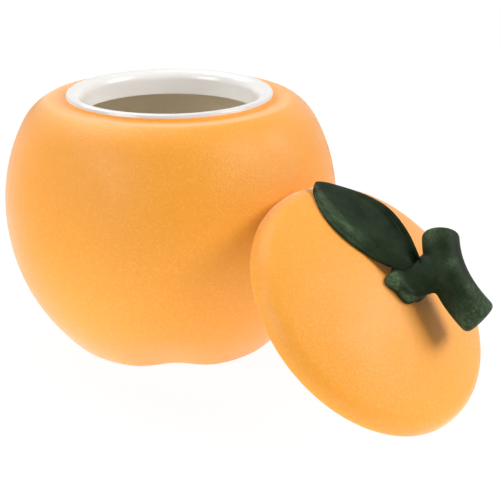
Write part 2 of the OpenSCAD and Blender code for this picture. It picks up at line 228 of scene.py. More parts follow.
class CanisterStage(bpy.types.PropertyGroup):
    """Camera, lights and floor."""

    camera_at: place("Camera", "Place of the camera", (0.0, -411.3, 172.26))
    camera_tilt: angle("Camera tilt", "Angle that the camera looks down", 19.538)
    camera_pan: angle("Camera pan", "Angle that the camera turns to the right", 3.323)
    lens: amount("Lens", "Focal length in millimetres", 101.635)
    lamp_reach: size("Lamp reach", "Distance of the softboxes from the object", 900.0)
    right_way: way("Right way", "Direction of the right softbox", (0.8, -0.18, 0.57))
    right_power: amount("Right power", "Power of the right softbox", 7.6)
    right_width: size("Right width", "Width of the right softbox", 450.0)
    left_way: way("Left way", "Direction of the left softbox", (-0.73, -0.5, 0.4))
    left_power: amount("Left power", "Power of the left softbox", 5.0)
    left_width: size("Left width", "Width of the left softbox", 500.0)
    top_way: way("Top way", "Direction of the top softbox", (-0.36, 0.48, 0.8))
    top_power: amount("Top power", "Power of the top softbox", 5.4)
    top_width: size("Top width", "Width of the top softbox", 600.0)
    room: amount("Room", "Brightness of the pale room", 0.03)
    sheet: size("Sheet", "Distance from the jar's axis at which the white sheet fades", 190.0)
    sheet_glow: amount("Sheet glow", "Brightness of the lit sheet under the object", 0.85)


class CanisterGlaze(bpy.types.PropertyGroup):
    """Colours of the glazes."""

    orange: colour("Orange", "Satin glaze of jar and lid", (0.875, 0.327, 0.012))
    pale: colour("Pale orange", "Thin glaze on the grain's peaks", (0.92, 0.405, 0.05))
    white: colour("White", "Glossy glaze of the neck", (0.88, 0.862, 0.85))
    # Rim: the neck's white glaze, painted darker as shade so that the brightly lit rim top does not render
    # too pale
    rim: colour("Rim", "Thinner glaze on the rim", (0.71, 0.705, 0.7))
    inside: colour("Inside", "Thin glaze inside the jar", (0.96, 0.88, 0.73))
    green: colour("Green", "Dark glaze of the knob", (0.0046, 0.0108, 0.004))
    # Pale green of worn glaze, also used for painted highlights on the knob
    worn: colour("Worn green", "Glaze brushed thin on high spots", (0.12, 0.19, 0.1))
    silicone: colour("Silicone", "Seal in the lid's flange", (0.78, 0.77, 0.74))
    floor: colour("Floor", "White sheet under the object", (0.8, 0.8, 0.8))
    table: colour("Table", "Darker table round the sheet", (0.15, 0.15, 0.15))


def arc(cx, cz, r, a, b, n):
    """Points of an arc from angle a to angle b, in n steps."""
    turns = [a + (b - a) * i / n for i in range(n + 1)]
    return [(cx + r * math.cos(t), cz + r * math.sin(t)) for t in turns]


def bend(a, b, c, s):
    """Point at s on the bend from a to c that b pulls."""
    return (1 - s) ** 2 * a + 2 * s * (1 - s) * b + s * s * c


def bent(a, b, c, n):
    """Points of the bend from a to c after its first one, in n steps."""
    return [tuple(bend(a, b, c, i / n)) for i in range(1, n + 1)]


def heading(a, b, c, s):
    """Direction of the bend at s."""
    return ((1 - s) * (b - a) + s * (c - b)).normalized()


def smooth(t):
    """Soft step from 0 to 1."""
    t = min(1.0, max(0.0, t))
    return t * t * (3 - 2 * t)


def piece(name, verts, faces):
    """A new piece with its faces smooth and pointing outwards."""
    mesh = bpy.data.meshes.new(name)
    mesh.from_pydata([tuple(v) for v in verts], [], faces)
    mesh.validate()
    bm = bmesh.new()
    bm.from_mesh(mesh)
    bmesh.ops.remove_doubles(bm, verts=bm.verts, dist=1e-7)
    bmesh.ops.recalc_face_normals(bm, faces=bm.faces)
    for f in bm.faces:
        f.smooth = True
    bm.to_mesh(mesh)
    bm.free()
    obj = bpy.data.objects.new(name, mesh)
    bpy.context.scene.collection.objects.link(obj)
    return obj


def revolved(profile, steps):
    """Vertices and faces of a closed profile turned about Z. Its first and last points lie on the axis."""
    turns = [2 * math.pi * j / steps for j in range(steps)]
    rings = [[(r * math.cos(t), r * math.sin(t), z) for t in turns] for r, z in profile[1:-1]]
    return skinned(rings, [(0.0, 0.0, profile[0][1]), (0.0, 0.0, profile[-1][1])])


def skinned(rings, ends=None):
    """Vertices and faces of a closed skin over rings with equal counts, and over a point at each end."""
    n = len(rings[0])
    last = (len(rings) - 1) * n
    verts = [p for ring in rings for p in ring]
    faces = []
    for base in range(0, last, n):
        for j in range(n):
            k = (j + 1) % n
            faces.append([base + j, base + k, base + n + k, base + n + j])
    ends = ends or [sum((Vector(p) for p in ring), Vector()) / n for ring in (rings[0], rings[-1])]
    for end, base in zip(ends, (0, last)):
        verts.append(end)
        faces += [[base + j, base + (j + 1) % n, len(verts) - 1] for j in range(n)]
    return verts, faces


def keep_result(obj):
    """Turns what a piece's modifiers show into its own plain mesh."""
    bpy.context.view_layer.update()
    graph = bpy.context.evaluated_depsgraph_get()
    shown = obj.evaluated_get(graph)
    mesh = bpy.data.meshes.new_from_object(shown, preserve_all_data_layers=True, depsgraph=graph)
    obj.modifiers.clear()
    old = obj.data
    obj.data = mesh
    bpy.data.meshes.remove(old)
    mesh.name = obj.name


def widest_z(jar):
    """Height of the jar's widest circle."""
    return jar.foot_edge + (jar.low_flank - jar.foot_edge) * math.sin(jar.low_turn)


def foot_r(jar):
    """Radius of the jar's flat foot inside its rounded edge."""
    return jar.radius - jar.low_flank + (jar.low_flank - jar.foot_edge) * math.cos(jar.low_turn)


def shoulder_at(jar):
    """Distance from the axis and height of the shoulder's centre."""
    reach = jar.high_flank - jar.shoulder
    from_axis = jar.radius - jar.high_flank + reach * math.cos(jar.high_turn)
    return from_axis, widest_z(jar) + reach * math.sin(jar.high_turn)


def crest(jar):
    """Height of the shoulder's crest."""
    return shoulder_at(jar)[1] + jar.shoulder


def rim_top(jar):
    """Height of the fired rim."""
    return crest(jar) + jar.rim_rise - jar.rim_ease


def neck_bottom(jar):
    """Height of the lower edge of the neck's bore."""
    return crest(jar) + jar.rim_rise - jar.neck


def lean_matrix():
    """Place of the lid: its lip on the floor and its upper edge by the jar's flank."""
    jar = bpy.context.scene.canister_jar
    lid = bpy.context.scene.canister_lid
    lip_r = lid.radius - lid.lip
    lift = lip_r * math.sin(lid.tilt) + lid.lip * (1 - math.cos(lid.tilt))
    touch_z = lid.lip + 2 * lip_r * math.sin(lid.tilt)
    reach = math.sqrt((jar.high_flank + lid.lip + lid.gap) ** 2 - (touch_z - widest_z(jar)) ** 2)
    away = jar.radius - jar.high_flank + reach + lip_r * math.cos(lid.tilt) - lid.lip * math.sin(lid.tilt)
    return (
        Matrix.Rotation(lid.turn, 4, "Z")
        @ Matrix.Translation((away, 0.0, lift))
        @ Matrix.Rotation(lid.tilt, 4, "Y")
    )


def dome(lid):
    """Angle where the lid's edge meets its dome, the dome's radius, and the crown's height."""
    turn = math.pi / 2 - 2 * math.atan((lid.rise - lid.edge) / (lid.radius - lid.edge))
    radius = lid.edge + (lid.radius - lid.edge) / math.cos(turn)
    return turn, radius, lid.lip + lid.rise


def lid_height(lid, r):
    """Height of the lid's dome or of its rounded edge at distance r from its axis."""
    turn, dome_r, crown_z = dome(lid)
    if r < dome_r * math.cos(turn):
        return crown_z - dome_r + math.sqrt(dome_r**2 - r**2)
    past = min(r - lid.radius + lid.edge, lid.edge)
    return lid.lip + math.sqrt(lid.edge**2 - past**2)


def dress(obj, body, materials, slot, *nodes):
    """Gives a piece its materials, its body and the nodes that it stands for."""
    obj.data.materials.clear()
    for material in materials:
        obj.data.materials.append(material)
    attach(obj, body)
    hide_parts(*nodes)


class Nodes:
    """Short way to place and join the nodes of one tree."""

    def __init__(self, tree):
        self.tree = tree

    def new(self, kind, **values):
        """A new node with some of its settings."""
        node = self.tree.nodes.new(kind)
        for key, value in values.items():
            setattr(node, key, value)
        return node

    def put(self, target, value):
        """Joins an output to an input, or sets the input to a value."""
        if isinstance(value, bpy.types.NodeSocket):
            self.tree.links.new(value, target)
        else:
            target.default_value = value

    def feed(self, node, **values):
        """Joins or sets a node's inputs by name."""
        for key, value in values.items():
            self.put(node.inputs[key.replace("_", " ")], value)
        return node

    def math(self, operation, a, b=0.0):
        """Result of arithmetic on one or two numbers."""
        node = self.new("ShaderNodeMath", operation=operation)
        self.put(node.inputs[0], a)
        self.put(node.inputs[1], b)
        return node.outputs[0]

    def times(self, a, b):
        """Product of two numbers."""
        return self.math("MULTIPLY", a, b)

    def rest(self, share):
        """What a share leaves of 1."""
        return self.math("SUBTRACT", 1.0, share)

    def ramp(self, value, low, high, out_low=0.0, out_high=1.0):
        """Soft step of a value between two stops."""
        node = self.new("ShaderNodeMapRange", interpolation_type="SMOOTHSTEP")
        self.feed(node, Value=value, From_Min=low, From_Max=high, To_Min=out_low, To_Max=out_high)
        return node.outputs["Result"]

    def mix(self, share, a, b):
        """Mix of two colours."""
        node = self.new("ShaderNodeMix", data_type="RGBA")
        self.put(node.inputs[0], share)
        self.put(node.inputs[6], a)
        self.put(node.inputs[7], b)
        return node.outputs[2]

    def noise(self, coords, scale, detail=2.0, roughness=0.5):
        """Cloudy noise."""
        node = self.new("ShaderNodeTexNoise")
        self.feed(node, Vector=coords, Scale=scale, Detail=detail, Roughness=roughness)
        return node.outputs["Fac"]

    def group(self, tree, **values):
        """A placed node group, with its inputs set by name."""
        return self.feed(self.new("ShaderNodeGroup", node_tree=tree), **values)

    def split(self, vector):
        """Parts of a vector, and its distance from the Z axis."""
        parts = self.new("ShaderNodeSeparateXYZ")
        self.put(parts.inputs[0], vector)
        flat = self.math("POWER", parts.outputs["X"], 2.0)
        flat = self.math("ADD", flat, self.math("POWER", parts.outputs["Y"], 2.0))
        return parts.outputs, self.math("SQRT", flat)

    def attribute(self, name):
        """A number or point that is stored for each vertex."""
        return self.new("ShaderNodeAttribute", attribute_name=name).outputs

    def seen(self):
        """1 for rays of the camera, and for those that a gloss or glass sends on."""
        path = self.new("ShaderNodeLightPath")
        rays = self.math("MAXIMUM", path.outputs["Is Camera Ray"], path.outputs["Is Glossy Ray"])
        return self.math("MAXIMUM", rays, path.outputs["Is Transmission Ray"])


def rgba(value):
    """Colour with full cover."""
    return (*value, 1.0)


def fine_grain_group():
    """Fine frosted grain of a satin glaze: a height and a mask of thin spots, from Object coordinates."""
    found = bpy.data.node_groups.get("Frosted grain")
    if found:
        return found
    tree = bpy.data.node_groups.new("Frosted grain", "ShaderNodeTree")
    face = tree.interface
    face.new_socket("Vector", in_out="INPUT", socket_type="NodeSocketVector")
    for name, value in (("Grain Size", 0.8 * MM), ("Cloud Size", 20 * MM)):
        socket = face.new_socket(name, in_out="INPUT", socket_type="NodeSocketFloat")
        socket.default_value = value
    for name in ("Height", "Thin Spots", "Clouds"):
        face.new_socket(name, in_out="OUTPUT", socket_type="NodeSocketFloat")
    n = Nodes(tree)
    into = n.new("NodeGroupInput").outputs
    grain = n.noise(into["Vector"], n.math("DIVIDE", 1.0, into["Grain Size"]), 3.0, 0.6)
    clouds = n.noise(into["Vector"], n.math("DIVIDE", 1.0, into["Cloud Size"]), 2.0, 0.5)
    spots = n.ramp(grain, 0.46, 0.66)
    n.feed(n.new("NodeGroupOutput"), Height=grain, Thin_Spots=spots, Clouds=n.ramp(clouds, 0.35, 0.65))
    return tree


def new_material(name):
    """An empty node material, its nodes, its surface shader and the object's coordinates."""
    mat = bpy.data.materials.new(name)
    mat.use_nodes = True
    mat.node_tree.nodes.clear()
    n = Nodes(mat.node_tree)
    shader = n.new("ShaderNodeBsdfPrincipled")
    n.feed(n.new("ShaderNodeOutputMaterial"), Surface=shader.outputs[0])
    return mat, n, shader, n.new("ShaderNodeTexCoord").outputs["Object"]


def orange_layer(n, coords, glaze):
    """Colour, roughness and bump height of the orange satin glaze."""
    grain = n.group(fine_grain_group(), Vector=coords, Grain_Size=SATIN_GRAIN, Cloud_Size=22 * MM)
    share = n.times(grain.outputs["Thin Spots"], THIN_SHARE)
    base = n.mix(share, rgba(glaze.orange), rgba(glaze.pale))
    rough = n.ramp(grain.outputs["Clouds"], 0.0, 1.0, 0.47, 0.57)
    return base, rough, grain.outputs["Height"]


def bump(n, shader, height, distance, strength):
    """Feeds a height into the shader's normal."""
    node = n.feed(n.new("ShaderNodeBump"), Height=height, Distance=distance, Strength=strength)
    n.put(shader.inputs["Normal"], node.outputs["Normal"])


def soft_sheen(n, shader, weight):
    """Powdery sheen that pales a satin glaze towards its outline. A glossy glaze has a weight of 0."""
    n.feed(shader, Sheen_Weight=weight, Sheen_Roughness=0.34, Sheen_Tint=(1.0, 0.97, 0.95, 1.0))
    n.put(shader.inputs["Specular IOR Level"], 0.6)


def jar_material(name, sheen):
    """Orange outside, white neck and a thin glaze inside, parted by height and distance from the axis."""
    jar = bpy.context.scene.canister_jar
    glaze = bpy.context.scene.canister_glaze
    mat, n, shader, coords = new_material(name)
    parts, from_axis = n.split(coords)
    orange, orange_rough, height = orange_layer(n, coords, glaze)
    wobble = n.times(n.math("SUBTRACT", n.noise(coords, 260.0), 0.5), 0.25 * MM)
    bore = n.rest(n.ramp(from_axis, jar.mouth + jar.rim / 2, jar.mouth + jar.rim))
    brim_z = rim_top(jar) - RIM_GLAZE
    brim = n.ramp(n.math("ADD", parts["Z"], wobble), brim_z - GLAZE_BLUR, brim_z + GLAZE_BLUR)
    neck_z = neck_bottom(jar)
    above = n.ramp(parts["Z"], neck_z - 2 * GLAZE_BLUR, neck_z)
    white = n.times(n.math("MAXIMUM", bore, brim), above)
    inside = n.attribute("inside")["Fac"]
    thin = rgba([0.9 * c for c in glaze.inside])
    tan = n.mix(n.noise(coords, 90.0, 3.0), rgba(glaze.inside), thin)
    # The rim's top takes the darker rim colour: painted shade that offsets the strong light falling on it
    painted_rim_shade = n.ramp(from_axis, jar.mouth + 0.3 * MM, jar.mouth + 0.6 * jar.rim)
    neck = n.mix(painted_rim_shade, rgba(glaze.white), rgba(glaze.rim))
    base = n.mix(white, n.mix(inside, orange, tan), neck)
    plain = n.rest(n.math("MAXIMUM", white, inside))
    gloss = n.ramp(n.noise(coords, 60.0), 0.3, 0.7, 0.14, 0.2)
    rough = n.math("ADD", n.times(orange_rough, plain), n.times(white, gloss))
    chamber = n.rest(n.math("ADD", plain, white))
    rough = n.math("ADD", rough, n.times(chamber, CHAMBER_ROUGHNESS))
    n.feed(shader, Base_Color=base, Roughness=rough)
    bump(n, shader, n.times(height, plain), SATIN_BUMP, 1.0)
    soft_sheen(n, shader, sheen)
    return mat


def lid_material(name, sheen):
    """Orange glaze on the dome and white glaze under it."""
    glaze = bpy.context.scene.canister_glaze
    mat, n, shader, coords = new_material(name)
    base, rough, height = orange_layer(n, coords, glaze)
    under = n.attribute("inside")["Fac"]
    rough = n.mix(under, rough, (0.2, 0.2, 0.2, 1.0))
    n.feed(shader, Base_Color=n.mix(under, base, rgba(glaze.white)), Roughness=rough)
    bump(n, shader, height, SATIN_BUMP, 1.0)
    soft_sheen(n, shader, sheen)
    return mat


def green_material():
    """Dark green satin glaze, paler where it is worn thin and where highlights are painted on."""
    found = bpy.data.materials.get("knob_green")
    if found:
        return found
    glaze = bpy.context.scene.canister_glaze
    mat, n, shader, coords = new_material("knob_green")
    grain = n.group(fine_grain_group(), Vector=coords, Grain_Size=0.6 * MM, Cloud_Size=6 * MM)
    # Share of pale green: worn glaze and painted highlights
    worn = n.attribute("worn")["Fac"]
    patches = n.noise(n.attribute("brush")["Vector"], 1000.0, 4.0, 0.65)
    specks = n.times(n.ramp(n.noise(coords, 1900.0, 1.0), 0.7, 0.76), 0.5)
    thin = n.math("ADD", n.ramp(patches, 0.34, 0.7, 0.2, 0.68), specks)
    mask = n.times(worn, thin)
    mask = n.math("ADD", mask, n.times(grain.outputs["Clouds"], 0.06))
    base = n.mix(mask, rgba(glaze.green), rgba(glaze.worn))
    rough = n.ramp(mask, 0.0, 1.0, 0.5, 0.66)
    n.feed(shader, Base_Color=base, Roughness=rough, Specular_IOR_Level=0.07)
    bump(n, shader, grain.outputs["Height"], 0.08 * MM, 0.3)
    return mat


def silicone_material():
    """Milky silicone with a faint moulded grain."""
    glaze = bpy.context.scene.canister_glaze
    mat, n, shader, coords = new_material("silicone_seal")
    grain = n.group(fine_grain_group(), Vector=coords, Grain_Size=0.5 * MM, Cloud_Size=9 * MM)
    dull = rgba([0.93 * c for c in glaze.silicone])
    base = n.mix(grain.outputs["Clouds"], rgba(glaze.silicone), dull)
    rough = n.ramp(grain.outputs["Thin Spots"], 0.0, 1.0, 0.42, 0.52)
    n.feed(shader, Base_Color=base, Roughness=rough)
    n.feed(shader, Subsurface_Weight=0.15, Subsurface_Radius=(0.002, 0.002, 0.002))
    bump(n, shader, grain.outputs["Height"], 0.05 * MM, 0.3)
    return mat


def corner_centre(flank_x, flank_r, widest, r, z, up):
    """Centre of a corner inside a flank: below a level roof if up is 1, above a floor if it is -1."""
    h = z - up * r
    return flank_x + math.sqrt((flank_r - r) ** 2 - (h - widest) ** 2), h


def mark(obj, name, values):
    """Stores one number or one point for each vertex."""
    values = np.asarray(values, np.float32)
    kind, field = ("FLOAT", "value") if values.ndim == 1 else ("FLOAT_VECTOR", "vector")
    layer = obj.data.attributes.new(name, kind, "POINT")
    layer.data.foreach_set(field, values.ravel())


def jar_outside(jar):
    """The jar's section outside, from the middle of its foot up, over the rim and down the neck's bore."""
    widest = widest_z(jar)
    foot = foot_r(jar)
    low_x = jar.radius - jar.low_flank
    high_x = jar.radius - jar.high_flank
    shoulder_x, shoulder_z = shoulder_at(jar)
    valley_start = jar.mouth + jar.rim + jar.valley_w
    valley_turn = math.acos((valley_start - shoulder_x) / jar.shoulder)
    points = [(foot * i / 24, 0.0) for i in range(24)]
    points += arc(foot, jar.foot_edge, jar.foot_edge, -math.pi / 2, -jar.low_turn, 10)
    points += arc(low_x, widest, jar.low_flank, -jar.low_turn, 0.0, 40)[1:]
    points += arc(high_x, widest, jar.high_flank, 0.0, jar.high_turn, 24)[1:]
    points += arc(shoulder_x, shoulder_z, jar.shoulder, jar.high_turn, valley_turn, 24)[1:]
    slope = (valley_start - shoulder_x) / (points[-1][1] - shoulder_z)
    return points + rim_section(jar, Vector(points[-1]), slope)


def rim_section(jar, start, slope):
    """Soft crest and valley round the rim, the rim itself and the neck's bore, after the shoulder's end."""
    rim_r = jar.mouth + jar.rim
    rim_z = rim_top(jar)
    neck_z = neck_bottom(jar)
    crest_z = crest(jar) - jar.crest_drop
    floor_z = crest(jar) - jar.valley
    crest_end = Vector((rim_r + CREST_END, crest_z))
    middle = Vector((rim_r + SLOPE_MIDDLE, (crest_z + floor_z) / 2))
    floor_end = Vector((rim_r + VALLEY_END, floor_z))
    side = Vector((rim_r, rim_z - RIM_SIDE))
    points = bent(start, Vector((start.x - (crest_z - start.y) / slope, crest_z)), crest_end, 16)
    points += bent(crest_end, Vector((rim_r + CREST_PULL, crest_z)), middle, 6)
    points += bent(middle, Vector((rim_r + VALLEY_PULL, floor_z)), floor_end, 6)
    points += bent(floor_end, Vector((rim_r + RIM_PULL, floor_z)), side, 10)
    points += bent(side, Vector((rim_r - RIM_PULL, rim_z)), Vector((rim_r - RIM_TOP, rim_z)), 8)
    points += arc(jar.mouth + jar.rim_edge, rim_z - jar.rim_edge, jar.rim_edge, math.pi / 2, math.pi, 12)
    points += [(jar.mouth, neck_z + (rim_z - jar.rim_edge - neck_z) * i / 6) for i in range(5, 0, -1)]
    return points + arc(jar.mouth + NECK_LIP, neck_z + NECK_LIP, NECK_LIP, math.pi, 1.5 * math.pi, 5)


def jar_inside(jar):
    """The chamber's section, from the neck's lower edge down to the middle of the floor."""
    widest = widest_z(jar)
    low_x = jar.radius - jar.low_flank
    high_x = jar.radius - jar.high_flank
    low_r = jar.low_flank - jar.wall
    high_r = jar.high_flank - jar.wall
    roof = corner_centre(high_x, high_r, widest, jar.corner, neck_bottom(jar), 1)
    floor = corner_centre(low_x, low_r, widest, jar.corner, jar.base, -1)
    roof_turn = math.asin((roof[1] - widest) / (high_r - jar.corner))
    floor_turn = math.asin((floor[1] - widest) / (low_r - jar.corner))
    points = arc(*roof, jar.corner, math.pi / 2, roof_turn, 14)
    points += arc(high_x, widest, high_r, roof_turn, 0.0, 14)[1:]
    points += arc(low_x, widest, low_r, 0.0, floor_turn, 20)[1:]
    points += arc(*floor, jar.corner, floor_turn, -math.pi / 2, 12)[1:]
    return points + [(floor[0] * (1 - i / 8), jar.base) for i in range(1, 9)]


def lid_foot(lid):
    """Inner radius of the flat ring under the lid's edge."""
    return lid.radius - lid.lip - lid.foot


def lid_under(lid, jar):
    """The lid's section below: hollow, flange with the seal's groove, and seat over the rim."""
    _, dome_r, crown_z = dome(lid)
    flange_r = jar.mouth - lid.clearance
    hollow = flange_r - lid.flange_wall
    round_r = lid.flange_wall / 4
    seal_top = lid.seal_height / 2 - lid.seal_drop
    seal_low = seal_top - lid.seal_height
    seal_in = flange_r - lid.seal_depth
    foot = lid_foot(lid)
    shoulder_x, shoulder_z = shoulder_at(jar)
    drop = math.sqrt(jar.shoulder**2 - (foot - shoulder_x) ** 2) + lid.shadow_gap
    seat = crest(jar) + jar.rim_rise - shoulder_z - drop
    seat_r = jar.mouth + jar.rim + lid.rim_clearance
    brim_r = math.hypot(foot - shoulder_x, drop)
    brim_start = math.acos((seat_r - shoulder_x) / brim_r)
    brim_end = math.atan2(drop, foot - shoulder_x)
    under_end = math.acos(hollow / (dome_r - lid.wall))
    points = arc(0.0, crown_z - dome_r, dome_r - lid.wall, math.pi / 2, under_end, 24)
    points[0] = (0.0, points[0][1])
    points += arc(hollow + round_r, round_r - lid.flange, round_r, math.pi, 1.5 * math.pi, 8)
    points += arc(flange_r - round_r, round_r - lid.flange, round_r, 1.5 * math.pi, 2 * math.pi, 8)
    points += [(flange_r, seal_low), (seal_in, seal_low), (seal_in, seal_top), (flange_r, seal_top)]
    points += [(flange_r, seat), (seat_r, seat)]
    return points + arc(shoulder_x, -drop, brim_r, brim_start, brim_end, 8)


def lid_over(lid):
    """The lid's section above: lip, rounded edge and dome."""
    turn, dome_r, crown_z = dome(lid)
    points = arc(lid.radius - lid.lip, lid.lip, lid.lip, -math.pi / 2, 0.0, 10)
    points += arc(lid.radius - lid.edge, lid.lip, lid.edge, 0.0, turn, 20)[1:]
    points += arc(0.0, crown_z - dome_r, dome_r, turn, math.pi / 2, 48)[1:]
    points[-1] = (0.0, points[-1][1])
    return points


def glossy_faces(obj, is_white):
    """Gives the second material to white faces and to those whose corners are all marked as inside."""
    marked = obj.data.attributes["inside"].data
    for face in obj.data.polygons:
        inside = all(marked[v].value > 0.5 for v in face.vertices)
        face.material_index = int(inside or is_white(face.center))


def groove_tree():
    """Geometry tree that presses evenly spaced soft grooves into the foot of a turned pot."""
    tree = bpy.data.node_groups.new("Foot grooves", "GeometryNodeTree")
    face = tree.interface
    face.new_socket("Geometry", in_out="INPUT", socket_type="NodeSocketGeometry")
    count = face.new_socket("Count", in_out="INPUT", socket_type="NodeSocketFloat")
    count.default_value = 4.0
    for name in ("Depth", "Half Width", "Start", "Foot Radius", "Top"):
        face.new_socket(name, in_out="INPUT", socket_type="NodeSocketFloat")
    face.new_socket("Material", in_out="INPUT", socket_type="NodeSocketMaterial")
    face.new_socket("Geometry", in_out="OUTPUT", socket_type="NodeSocketGeometry")
    n = Nodes(tree)
    into = n.new("NodeGroupInput").outputs
    parts, from_axis = n.split(n.new("GeometryNodeInputPosition").outputs[0])
    turn = n.math("ADD", n.math("ARCTAN2", parts["Y"], parts["X"]), 2.5 * math.pi)
    apart = n.math("PINGPONG", turn, n.math("DIVIDE", math.pi, into["Count"]))
    across = n.math("DIVIDE", apart, into["Half Width"])
    bell = n.math("EXPONENT", n.times(n.math("POWER", across, 2.0), -1.0))
    rise = n.ramp(from_axis, into["Start"], into["Foot Radius"])
    fade = n.rest(n.ramp(parts["Z"], 0.0, into["Top"]))
    marked = n.new("GeometryNodeInputNamedAttribute", data_type="FLOAT")
    marked.inputs["Name"].default_value = "inside"
    outside = n.rest(marked.outputs["Attribute"])
    push = n.times(n.times(bell, rise), n.times(fade, outside))
    push = n.times(n.times(push, into["Depth"]), -1.0)
    offset = n.new("ShaderNodeVectorMath", operation="SCALE")
    n.put(offset.inputs[0], n.new("GeometryNodeInputNormal").outputs[0])
    n.put(offset.inputs["Scale"], push)
    move = n.new("GeometryNodeSetPosition")
    n.feed(move, Geometry=into["Geometry"], Offset=offset.outputs[0])
    real = n.new("GeometryNodeRealizeInstances")
    n.put(real.inputs[0], move.outputs[0])
    paint = n.new("GeometryNodeSetMaterial")
    n.feed(paint, Geometry=real.outputs[0], Material=into["Material"])
    n.put(n.new("NodeGroupOutput").inputs[0], paint.outputs[0])
    return tree


def with_tree(obj, tree, **values):
    """Runs a geometry tree on a piece and keeps the result as a plain mesh."""
    modifier = obj.modifiers.new(tree.name, "NODES")
    modifier.node_group = tree
    for item in tree.interface.items_tree:
        key = item.name.replace(" ", "_")
        if item.in_out == "INPUT" and key in values:
            modifier[item.identifier] = values[key]
    keep_result(obj)


class CANISTER_OT_jar(bpy.types.Operator):
    """Turns the jar, presses the grooves into its foot and glazes it"""

    bl_idname = "canister.jar"
    bl_label = "Jar"

    def execute(self, context):
        jar = context.scene.canister_jar
        obj = piece("jar_pot", *revolved(jar_outside(jar) + jar_inside(jar), JAR_STEPS))
        mark(obj, "inside", [float(self.is_inside(jar, v.co)) for v in obj.data.vertices])
        satin = jar_material("jar_satin", SATIN_SHEEN)
        gloss = jar_material("jar_gloss", 0.0)
        with_tree(
            obj,
            groove_tree(),
            Count=float(jar.grooves),
            Depth=jar.groove_depth,
            Half_Width=jar.groove_half,
            Start=jar.groove_start,
            Foot_Radius=foot_r(jar),
            Top=jar.groove_top,
            Material=satin,
        )
        dress(obj, "jar", (satin, gloss), "orange_glaze", "jar_body")
        glossy_faces(obj, lambda at: self.is_white(jar, at))
        return {"FINISHED"}

    def is_inside(self, jar, at):
        """Whether a point lies on the chamber's wall."""
        above = at.z - widest_z(jar)
        flank = jar.low_flank if above < 0 else jar.high_flank
        depth = flank - math.hypot(math.hypot(at.x, at.y) - jar.radius + flank, above)
        level = jar.base - 0.1 * MM < at.z < neck_bottom(jar) + 0.05 * MM
        return level and depth > jar.wall - 0.2 * MM

    def is_white(self, jar, at):
        """Whether a point lies on the neck's bore or on the rim."""
        bore = math.hypot(at.x, at.y) < jar.mouth + jar.rim / 2
        return at.z > rim_top(jar) - RIM_GLAZE or (bore and at.z > neck_bottom(jar))


class CANISTER_OT_lid(bpy.types.Operator):
    """Turns the lid with its dome, edge and flange, and leans it on the jar"""

    bl_idname = "canister.lid"
    bl_label = "Lid"

    def execute(self, context):
        lid = context.scene.canister_lid
        section = lid_under(lid, context.scene.canister_jar) + lid_over(lid)
        obj = piece("lid_dome", *revolved(section, LID_STEPS))
        mark(obj, "inside", [float(self.is_under(lid, v.co)) for v in obj.data.vertices])
        obj.data.transform(lean_matrix())
        satin = lid_material("lid_satin", SATIN_SHEEN)
        gloss = lid_material("lid_gloss", 0.0)
        dress(obj, "lid_with_knob", (satin, gloss), "orange_glaze", "lid")
        glossy_faces(obj, lambda at: False)
        return {"FINISHED"}

    def is_under(self, lid, at):
        """Whether a point lies on the white underside."""
        _, dome_r, crown_z = dome(lid)
        from_axis = math.hypot(at.x, at.y)
        below_dome = dome_r - math.hypot(from_axis, at.z - crown_z + dome_r)
        return from_axis < lid_foot(lid) - 0.2 * MM and below_dome > 1.0 * MM


class CANISTER_OT_seal(bpy.types.Operator):
    """Gives the seal in the flange its silicone"""

    bl_idname = "canister.seal"
    bl_label = "Seal"

    def execute(self, context):
        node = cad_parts["seal_ring"]
        node.data.materials.clear()
        node.data.materials.append(silicone_material())
        return {"FINISHED"}


def ring_round(c, along, wide, wide_r, r, count):
    """Oval about c, square to the direction along, with radius wide_r towards the direction wide."""
    side = (wide - wide.dot(along) * along).normalized()
    up = side.cross(along)
    turns = [2 * math.pi * j / count for j in range(count)]
    return [c + wide_r * math.cos(t) * side + r * math.sin(t) * up for t in turns]


def melted(obj, voxel, rounds):
    """Fuses a piece's shells into one skin and softens the joints, as wet clay is smoothed by a finger."""
    fuse = obj.modifiers.new("fuse", "REMESH")
    fuse.mode = "VOXEL"
    fuse.voxel_size = voxel
    soften = obj.modifiers.new("soften", "SMOOTH")
    soften.factor = 0.5
    soften.iterations = rounds
    keep_result(obj)
    for f in obj.data.polygons:
        f.use_smooth = True


def joined(name, parts):
    """One piece from several closed shells."""
    verts = []
    faces = []
    for part_verts, part_faces in parts:
        start = len(verts)
        verts += list(part_verts)
        faces += [[start + i for i in f] for f in part_faces]
    return piece(name, verts, faces)


def branch_rings(knob):
    """Rings of the cross branch, with rounded edges at its blunt ends."""
    stub, pull, limb = Vector(knob.stub_end), Vector(knob.branch_bend), Vector(knob.limb_end)
    first = knob.blunt / (limb - stub).length
    stops = []
    for i in range(9):
        g = math.radians(10.0 * i)
        stops.append((first * (1 - math.cos(g)), knob.blunt * (1 - math.sin(g))))
    body = [(first + (1 - 2 * first) * i / 48, 0.0) for i in range(49)]
    tail = [(1 - s, loss) for s, loss in reversed(stops)]
    rings = []
    for s, loss in stops + body + tail:
        r = (knob.stub + (knob.limb - knob.stub) * s) / 2 - loss
        rings.append(ring_round(bend(stub, pull, limb, s), heading(stub, pull, limb, s), UP, r, r, 48))
    return rings


def stalk_rings(knob, foot):
    """Rings of the stalk that stands in the calyx and leans over into the branch."""
    guide = Vector(knob.stub_end), Vector(knob.branch_bend), Vector(knob.limb_end)
    joint = bend(*guide, STALK_SHARE)
    wide = heading(*guide, STALK_SHARE)
    lean = (joint - foot).normalized()
    rings = []
    for i in range(17):
        s = i / 16
        along = ((1 - s) * UP + s * lean).normalized()
        wide_r = (knob.stalk + s * knob.flare) / 2
        rings.append(ring_round(foot + s * (joint - foot), along, wide, wide_r, knob.stalk / 2, 48))
    return rings


